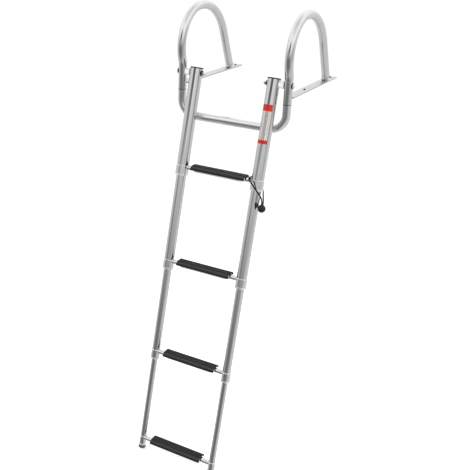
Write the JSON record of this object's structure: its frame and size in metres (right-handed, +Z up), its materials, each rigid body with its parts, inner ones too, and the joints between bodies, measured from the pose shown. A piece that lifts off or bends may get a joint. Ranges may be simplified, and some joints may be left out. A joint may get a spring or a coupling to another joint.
{
  "type": "folding telescoping boat ladder",
  "caption": "Stainless telescoping boat ladder hanging from two bent handrails on flat deck bars, swinging up on a pivot and closing by nested stiles with ribbed black treads.",
  "frame": {"origin": "underside of the right-hand deck bar, on its centre line, 200 mm behind the pivot", "axes": "+Z up, +X to the right of someone facing the boat from the water, +Y inboard; the ladder hangs on the -Y side"},
  "size_m": [0.3847, 0.6981, 1.3893],
  "materials": {
    "polished_steel": "polished stainless tube",
    "bolt_steel": "bright stainless fasteners",
    "white_nylon": "satin",
    "black_plastic": "matt, ribbed on the treads",
    "black_rubber": "matt",
    "cord_black": "braided elastic",
    "ball_black": "smooth"
  },
  "bodies": {
    "handrail_frame": {"handrail_left": "polished_steel", "handrail_right": "polished_steel", "cross_bar": "polished_steel", "deck_bar_left": "polished_steel", "deck_bar_right": "polished_steel", "rear_foot_left": "polished_steel", "rear_foot_right": "polished_steel", "pivot_bolt_left": "bolt_steel", "pivot_bolt_right": "bolt_steel", "pivot_nut_left": "bolt_steel", "pivot_nut_right": "bolt_steel", "pivot_spacer_left": "white_nylon", "pivot_spacer_right": "white_nylon"},
    "section_1": {"stile_1_left": "polished_steel", "stile_1_right": "polished_steel", "top_cap_left": "black_plastic", "top_cap_right": "black_plastic", "step_1": "polished_steel", "tread_1": "black_plastic", "bungee_cord": "cord_black", "bungee_ball": "ball_black"},
    "section_2": {"stile_2_left": "polished_steel", "stile_2_right": "polished_steel", "guide_ring_2_left": "white_nylon", "guide_ring_2_right": "white_nylon", "step_2": "polished_steel", "tread_2": "black_plastic"},
    "section_3": {"stile_3_left": "polished_steel", "stile_3_right": "polished_steel", "guide_ring_3_left": "white_nylon", "guide_ring_3_right": "white_nylon", "step_3": "polished_steel", "tread_3": "black_plastic"},
    "section_4": {"stile_4_left": "polished_steel", "stile_4_right": "polished_steel", "guide_ring_4_left": "white_nylon", "guide_ring_4_right": "white_nylon", "step_4": "polished_steel", "tread_4": "black_plastic", "foot_left": "black_rubber", "foot_right": "black_rubber"}
  },
  "joints": [
    {"name": "ladder_swing", "type": "hinge", "parent": "handrail_frame", "child": "section_1", "pos_m": [-0.17405, -0.2, 0.037], "axis": [-1, 0, 0], "range_deg": [0, 250]},
    {"name": "section_2_slide", "type": "slide", "parent": "section_1", "child": "section_2", "axis": [0, 0.241, 0.9705], "range_m": [0, 0.255]},
    {"name": "section_3_slide", "type": "slide", "parent": "section_2", "child": "section_3", "axis": [0, 0.241, 0.9705], "range_m": [0, 0.255]},
    {"name": "section_4_slide", "type": "slide", "parent": "section_3", "child": "section_4", "axis": [0, 0.241, 0.9705], "range_m": [0, 0.255]}
  ]
}
